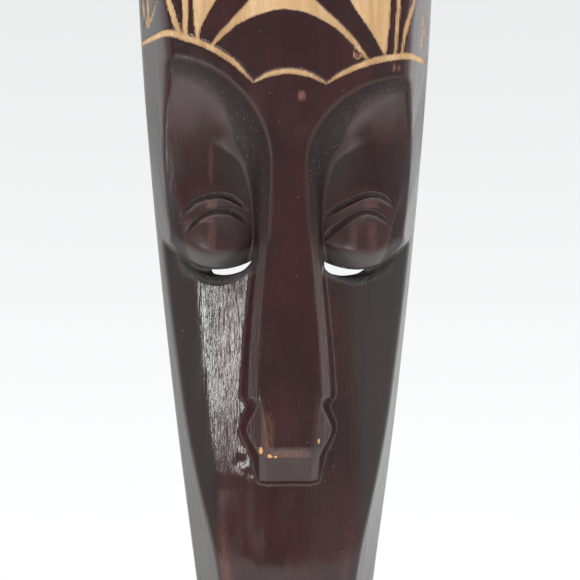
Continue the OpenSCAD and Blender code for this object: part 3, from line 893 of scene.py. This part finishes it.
def useGroup(tree, group, inputs):
    node = tree.nodes.new("ShaderNodeGroup")
    node.node_tree = group
    for key, value in inputs.items():
        if isinstance(value, bpy.types.NodeSocket):
            tree.links.new(value, node.inputs[key])
        else:
            node.inputs[key].default_value = value
    return node


# effects that several finishes share
def makeWoodFibre():
    # wood grain that runs up Z: fine fibres, broader growth bands, and short open pores
    group, inp, out = newGroup("woodFibre",
                               [("Vector", "Vector", None), ("Fibre Width mm", "Float", 0.6),
                                ("Stretch", "Float", 16.0)],
                               [("Fibre", "Float"), ("Bands", "Float"), ("Pores", "Float")])
    perMetre = sums(group, "DIVIDE", 1000.0, inp.outputs["Fibre Width mm"])
    along = sums(group, "DIVIDE", perMetre, inp.outputs["Stretch"])
    stretch = addNode(group, "CombineXYZ", {"X": perMetre, "Y": perMetre, "Z": along}).outputs[0]
    placed = addNode(group, "VectorMath", {0: inp.outputs["Vector"], 1: stretch},
                     operation="MULTIPLY").outputs[0]
    fibre = noise(group, placed, 1.0, 3.0, 0.42, 0.1)
    bands = noise(group, placed, 0.09, 2.0, 0.5, 1.2)
    pores = remap(group, noise(group, placed, 0.8, 1.0, 0.4), 0.62, 0.7)
    group.links.new(fibre, out.inputs["Fibre"])
    group.links.new(bands, out.inputs["Bands"])
    group.links.new(pores, out.inputs["Pores"])
    return group


def makeSpecks():
    # sparse small specks of dust and bubbles
    group, inp, out = newGroup("specks",
                               [("Vector", "Vector", None), ("Spacing mm", "Float", 6.0),
                                ("Size", "Float", 0.06)],
                               [("Specks", "Float")])
    scale = sums(group, "DIVIDE", 1000.0, inp.outputs["Spacing mm"])
    cells = addNode(group, "TexVoronoi", {"Vector": inp.outputs["Vector"], "Scale": scale,
                                          "Randomness": 1.0}, feature="F1")
    limit = sums(group, "MULTIPLY", inp.outputs["Size"],
                 addNode(group, "SeparateColor", {"Color": cells.outputs["Color"]}).outputs["Red"])
    inside = sums(group, "SUBTRACT", limit, cells.outputs["Distance"])
    group.links.new(remap(group, inside, 0.0, 0.02), out.inputs["Specks"])
    return group


woodFibre = makeWoodFibre()
specks = makeSpecks()

lacquerLook = {
    "deep": (0.0205, 0.0054, 0.0050), "warm": (0.043, 0.0094, 0.0084), "rubbed": (0.23, 0.098, 0.074),
    # edge: darker, greyer base for the side facets, painted shade
    # endGrainShade: near-black end grain, partly painted shade in the walls, folds and notches
    "endGrainShade": (0.015, 0.0045, 0.0042), "edge": (0.03, 0.0245, 0.0245), "speck": (0.22, 0.19, 0.18),
    # dust: grey of the painted reflection under the lids
    "grit": (0.3, 0.27, 0.24), "dustAndSheen": (0.07, 0.066, 0.062),
    "pale": (0.74, 0.50, 0.27), "paleDark": (0.52, 0.31, 0.14), "edgeTan": (0.30, 0.155, 0.06),
    "tip": (0.78, 0.42, 0.12),
    "specks": 0.55, "gritPart": 0.3, "sideShadePart": 0.8, "poresPart": 0.3,
    "roughness": 0.17, "bareRoughness": 0.62, "grainRoughness": 0.42, "dulling": 0.16, "grainGloss": 0.06,
    "fibreRise": 0.00022, "fineRise": 0.35, "speckRise": 1.2, "smoothRise": 0.25, "coarseRise": 0.95,
}


def lacquerColour(tree, look, where, fibre, fine, dustAndSheen):
    # thin and warm where it was wiped, deep where it pooled, then specks, near-black end grain that is partly
    # painted shade, grit, a painted grey reflection under the lids, painted shade greying the side facets,
    # and rubbed wood
    patches = noise(tree, where, 26.0, 3.0, 0.55)
    streaks = addNode(tree, "Mapping", {"Vector": where, "Scale": (1, 1, 0.25)}).outputs[0]
    clouds = noise(tree, streaks, 90.0, 2.0)
    grain = stored(tree, "endGrainShade")
    thin = plus(tree, times(tree, patches, 0.7), times(tree, clouds, 0.3))
    colour = blendColour(tree, remap(tree, thin, 0.36, 0.64), look["deep"], look["warm"])
    lines = remap(tree, fibre.outputs["Fibre"], 0.35, 0.7, 0.0, 0.35)
    colour = blendColour(tree, lines, colour, look["deep"])
    colour = blendColour(tree, times(tree, dustAndSheen.outputs["Specks"], look["specks"]), colour, look["speck"])
    # near-black end grain, partly painted shade in the socket walls, folds and notches
    colour = blendColour(tree, grain, colour, look["endGrainShade"])
    grit = useGroup(tree, specks, {"Vector": where, "Spacing mm": 1.5, "Size": 0.27})
    gritty = times(tree, times(tree, grit.outputs["Specks"], grain), look["gritPart"])
    colour = blendColour(tree, gritty, colour, look["grit"])
    # grey painted reflection under the lids, mottled
    lidSheen = times(tree, stored(tree, "paintedLidSheen"), remap(tree, patches, 0.3, 0.6, 0.5, 0.9))
    colour = blendColour(tree, lidSheen, colour, look["dustAndSheen"])
    # side facets greyed and darkened: painted shade
    colour = blendColour(tree, times(tree, stored(tree, "sideShadeBand"), look["sideShadePart"]), colour, look["edge"])
    torn = remap(tree, fine.outputs["Fibre"], 0.35, 0.65, 0.35, 1.5)
    ragged = times(tree, stored(tree, "rubbed"), torn, clamp=True)
    return blendColour(tree, ragged, colour, look["rubbed"]), clouds, grain


def bareColour(tree, look, fibre, fine):
    # pale wood with brown flecks in the pores, tan and torn at the edge of each cut
    tear = plus(tree, stored(tree, "cutDistance"), remap(tree, fine.outputs["Fibre"], 0.3, 0.7, -0.38, 0.38))
    bands = remap(tree, fibre.outputs["Bands"], 0.35, 0.65)
    pale = blendColour(tree, bands, look["pale"], look["paleDark"])
    lines = remap(tree, fine.outputs["Fibre"], 0.45, 0.75, 0.0, 0.45)
    pale = blendColour(tree, lines, pale, look["paleDark"])
    pale = blendColour(tree, times(tree, fine.outputs["Pores"], look["poresPart"]), pale, look["edgeTan"])
    rim = remap(tree, tear, -0.8, -0.1, 0.0, 0.8, smooth=True)
    pale = blendColour(tree, rim, pale, look["edgeTan"])
    tip = times(tree, stored(tree, "wornTip"), remap(tree, fine.outputs["Fibre"], 0.35, 0.6, 0.3, 1.6))
    tip = remap(tree, tip, 0.15, 0.6)
    pale = blendColour(tree, tip, pale, look["tip"])
    return pale, sums(tree, "MAXIMUM", remap(tree, tear, 0.1, -0.08), tip)


def makeLacquer():
    # lacquer where it is left, bare wood where the gouge went through; grain, bubbles and specks raised
    look = lacquerLook
    material, tree, shader = nodeTree("redBrownLacquer")
    where = addNode(tree, "TexCoord").outputs["Object"]
    fibre = useGroup(tree, woodFibre, {"Vector": where, "Fibre Width mm": 1.0, "Stretch": 15.0})
    fine = useGroup(tree, woodFibre, {"Vector": where, "Fibre Width mm": 0.4, "Stretch": 14.0})
    dustAndSheen = useGroup(tree, specks, {"Vector": where, "Spacing mm": 4.4, "Size": 0.085})
    lacquer, clouds, grain = lacquerColour(tree, look, where, fibre, fine, dustAndSheen)
    pale, bare = bareColour(tree, look, fibre, fine)
    tree.links.new(blendColour(tree, bare, lacquer, pale), shader.inputs["Base Color"])
    coarse = stored(tree, "raisedGrain")
    wiped = plus(tree, look["roughness"], remap(tree, clouds, 0.3, 0.7, -0.04, 0.07))
    wiped = plus(tree, wiped, times(tree, grain, look["grainRoughness"]))
    wiped = plus(tree, wiped, times(tree, stored(tree, "dullness"), look["dulling"]))
    wiped = sums(tree, "SUBTRACT", wiped, times(tree, coarse, look["grainGloss"]))
    rough = addNode(tree, "Mix", {0: bare, 2: wiped, 3: look["bareRoughness"]}, data_type="FLOAT").outputs[0]
    tree.links.new(rough, shader.inputs["Roughness"])
    raised = plus(tree, fibre.outputs["Fibre"], times(tree, fine.outputs["Fibre"], look["fineRise"]))
    raised = plus(tree, raised, times(tree, dustAndSheen.outputs["Specks"], look["speckRise"]))
    raised = times(tree, raised, plus(tree, look["smoothRise"], times(tree, coarse, look["coarseRise"])))
    bump = addNode(tree, "Bump", {"Height": raised, "Strength": 1.0, "Distance": look["fibreRise"]})
    tree.links.new(bump.outputs["Normal"], shader.inputs["Normal"])
    return material


backLook = {
    "wood": (0.40, 0.235, 0.12), "bands": (0.27, 0.145, 0.07), "fibre": (0.20, 0.10, 0.05),
    "stain": (0.075, 0.03, 0.02), "roughness": 0.68, "fibreRise": 0.00012,
}


def makeBackWood():
    # the scooped back: bare wood, stained brown where the dye ran over the rim
    look = backLook
    material, tree, shader = nodeTree("bareBackWood")
    where = addNode(tree, "TexCoord").outputs["Object"]
    fibre = useGroup(tree, woodFibre, {"Vector": where, "Fibre Width mm": 1.0, "Stretch": 20.0})
    fine = useGroup(tree, woodFibre, {"Vector": where, "Fibre Width mm": 0.45, "Stretch": 14.0})
    stain = noise(tree, where, 18.0, 4.0, 0.6)
    wood = blendColour(tree, remap(tree, fibre.outputs["Bands"], 0.38, 0.62), look["wood"], look["bands"])
    lines = remap(tree, fine.outputs["Fibre"], 0.45, 0.75, 0.0, 0.5)
    wood = blendColour(tree, lines, wood, look["fibre"])
    wood = blendColour(tree, remap(tree, stain, 0.56, 0.72, 0.0, 0.75), wood, look["stain"])
    tree.links.new(wood, shader.inputs["Base Color"])
    shader.inputs["Roughness"].default_value = look["roughness"]
    raised = plus(tree, fibre.outputs["Fibre"], times(tree, fine.outputs["Fibre"], 0.6))
    bump = addNode(tree, "Bump", {"Height": raised, "Strength": 1.0, "Distance": look["fibreRise"]})
    tree.links.new(bump.outputs["Normal"], shader.inputs["Normal"])
    return material


metalLook = {  # colour, its darker blotches, roughness, and how far apart the pits are in mm
    "zincStrap": ((0.56, 0.56, 0.54), (0.36, 0.36, 0.35), 0.36, 2.0),
    "zincRing": ((0.62, 0.62, 0.61), (0.42, 0.42, 0.41), 0.28, 2.5),
    "dulledBrass": ((0.62, 0.44, 0.16), (0.34, 0.21, 0.07), 0.33, 1.5),
}


def makeMetal(name):
    # drawn or pressed metal: fine scratches, dull blotches, dark pits
    colour, dark, roughness, spacing = metalLook[name]
    material, tree, shader = nodeTree(name)
    where = addNode(tree, "TexCoord").outputs["Object"]
    scratch = useGroup(tree, woodFibre, {"Vector": where, "Fibre Width mm": 0.12, "Stretch": 25.0})
    pits = useGroup(tree, specks, {"Vector": where, "Spacing mm": spacing, "Size": 0.25})
    tone = blendColour(tree, remap(tree, noise(tree, where, 700.0, 4.0), 0.4, 0.7), colour, dark)
    tone = blendColour(tree, times(tree, pits.outputs["Specks"], 0.6), tone, (0.12, 0.1, 0.08))
    tree.links.new(tone, shader.inputs["Base Color"])
    shader.inputs["Metallic"].default_value = 1.0
    tree.links.new(remap(tree, scratch.outputs["Fibre"], 0.3, 0.7, roughness - 0.07, roughness + 0.1),
                   shader.inputs["Roughness"])
    bump = addNode(tree, "Bump", {"Height": scratch.outputs["Fibre"], "Strength": 0.6, "Distance": 0.00001})
    tree.links.new(bump.outputs["Normal"], shader.inputs["Normal"])
    return material


def paint(piece, *materials):
    # the piece's own finishes in place of any it had
    piece.data.materials.clear()
    for material in materials:
        piece.data.materials.append(material)


paint(maskBlock, makeLacquer(), makeBackWood())
bare = np.empty(len(maskBlock.data.vertices))
maskBlock.data.attributes["bareBack"].data.foreach_get("value", bare)
sides = np.empty(len(maskBlock.data.polygons), int)
maskBlock.data.polygons.foreach_get("loop_total", sides)
corners = np.empty(len(maskBlock.data.loops), int)
maskBlock.data.loops.foreach_get("vertex_index", corners)
isBack = np.minimum.reduceat(bare[corners], np.r_[0, np.cumsum(sides)[:-1]]) > 0.5
maskBlock.data.polygons.foreach_set("material_index", isBack.astype(np.int32))
maskBlock.data.shade_smooth()

paint(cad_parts["hanger_strap"], makeMetal("zincStrap"))
paint(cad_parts["hanger_ring"], makeMetal("zincRing"))
brass = makeMetal("dulledBrass")
paint(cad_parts["upper_screw"], brass)
paint(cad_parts["lower_screw"], brass)
print("finishes set")

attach(maskBlock, "mask")
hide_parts("mask_body")

# camera, floor and light
studio = {
    "cameraDistance": 0.8, "cameraTurn": math.radians(-3), "aim": (0.0027, 0.0, -0.2125), "viewWidth": 0.29,
    "floorDrop": 0.03, "floorRadius": 0.68, "floorForward": 0.12,
    "sideTone": 1.2, "frontTone": 0.44, "ceilingGlow": 1.1, "tableGlow": 2.1, "rightGlow": 0.25,
    "floorTone": 0.82, "floorRoughness": 0.8, "backdropLow": 1.03, "backdropHigh": 0.845,
    # each light: place, target, width and height, watts, spread in degrees
    "windowLight": ((-1.08, -1.9, -0.285), (-0.03, -0.03, -0.285), (0.42, 0.28), 9.0, 180),
    "floorLight": ((0.0, -0.48, 0.9), (0, -0.48, -0.5), (0.9, 0.4), 0.6, 30),
}

camera = bpy.data.objects.new("camera", bpy.data.cameras.new("camera"))
scene.collection.objects.link(camera)
aim, turn, far = studio["aim"], studio["cameraTurn"], studio["cameraDistance"]
camera.location = (aim[0] + far * math.sin(turn), aim[1] - far * math.cos(turn), aim[2])
camera.rotation_euler = (math.radians(90), 0, turn)
camera.data.angle = 2 * math.atan(studio["viewWidth"] / 2 / far)
camera.data.clip_start = 0.01
scene.camera = camera


def makeFloor():
    # plain disc under the hanging mask
    turns = np.linspace(0, 2 * np.pi, 96, endpoint=False)
    level = cadBounds[0][2] - studio["floorDrop"]
    radius = studio["floorRadius"]
    y = radius * np.sin(turns) - studio["floorForward"]
    points = np.c_[radius * np.cos(turns), y, np.full(96, level)]
    floor = makeObject("floor", points, [list(range(96))], smooth=False)
    material, tree, shader = nodeTree("paleFloor")
    tone = studio["floorTone"]
    shader.inputs["Base Color"].default_value = (tone, tone, tone, 1)
    shader.inputs["Roughness"].default_value = studio["floorRoughness"]
    paint(floor, material)


def areaLight(name):
    # a rectangular light turned from its place towards its target
    place, target, size, power, spread = studio[name]
    light = bpy.data.lights.new(name, "AREA")
    light.shape = "RECTANGLE"
    light.size, light.size_y = size
    light.energy = power
    light.spread = math.radians(spread)
    lamp = bpy.data.objects.new(name, light)
    scene.collection.objects.link(lamp)
    lamp.location = place
    reach = np.array(target) - np.array(place)
    tilt = math.acos(-reach[2] / np.linalg.norm(reach))
    lamp.rotation_euler = (tilt, 0, math.atan2(reach[1], reach[0]) - math.pi / 2)


def makeWorld():
    # pale all round, dimmer towards the room in front of the mask; seen directly it is a plain backdrop
    world = bpy.data.worlds.new("studioWorld")
    scene.world = world
    world.use_nodes = True
    tree = world.node_tree
    tree.nodes.clear()
    output = tree.nodes.new("ShaderNodeOutputWorld")
    background = tree.nodes.new("ShaderNodeBackground")
    tree.links.new(background.outputs[0], output.inputs["Surface"])
    direction = addNode(tree, "TexCoord").outputs["Generated"]
    parts = addNode(tree, "SeparateXYZ", {0: direction})
    towardsRoom = remap(tree, parts.outputs["Y"], 0.2, -0.5, studio["sideTone"], studio["frontTone"],
                        smooth=True)
    ceiling = remap(tree, parts.outputs["Z"], 0.45, 0.8, 0.0, studio["ceilingGlow"], smooth=True)
    low = remap(tree, parts.outputs["Z"], -0.14, -0.32, 0.0, studio["tableGlow"], smooth=True)
    middle = remap(tree, sums(tree, "ABSOLUTE", parts.outputs["X"]), 0.5, 0.25, 0.0, 1.0, smooth=True)
    towardsRoom = plus(tree, towardsRoom, times(tree, low, middle))
    towardsRoom = plus(tree, towardsRoom, ceiling)
    right = remap(tree, parts.outputs["X"], 0.15, 0.6, 0.0, studio["rightGlow"], smooth=True)
    towardsRoom = plus(tree, towardsRoom, right)
    backdrop = remap(tree, parts.outputs["Z"], -0.17, 0.17, studio["backdropLow"], studio["backdropHigh"])
    seen = addNode(tree, "LightPath").outputs["Is Camera Ray"]
    tone = addNode(tree, "Mix", {0: seen, 2: towardsRoom, 3: backdrop}, data_type="FLOAT").outputs[0]
    tint = addNode(tree, "CombineXYZ", {"X": times(tree, tone, 0.985), "Y": times(tree, tone, 0.995),
                                        "Z": tone}).outputs[0]
    tree.links.new(tint, background.inputs["Color"])
    background.inputs["Strength"].default_value = 1.0


makeFloor()
makeWorld()
areaLight("windowLight")
areaLight("floorLight")
print("studio set")
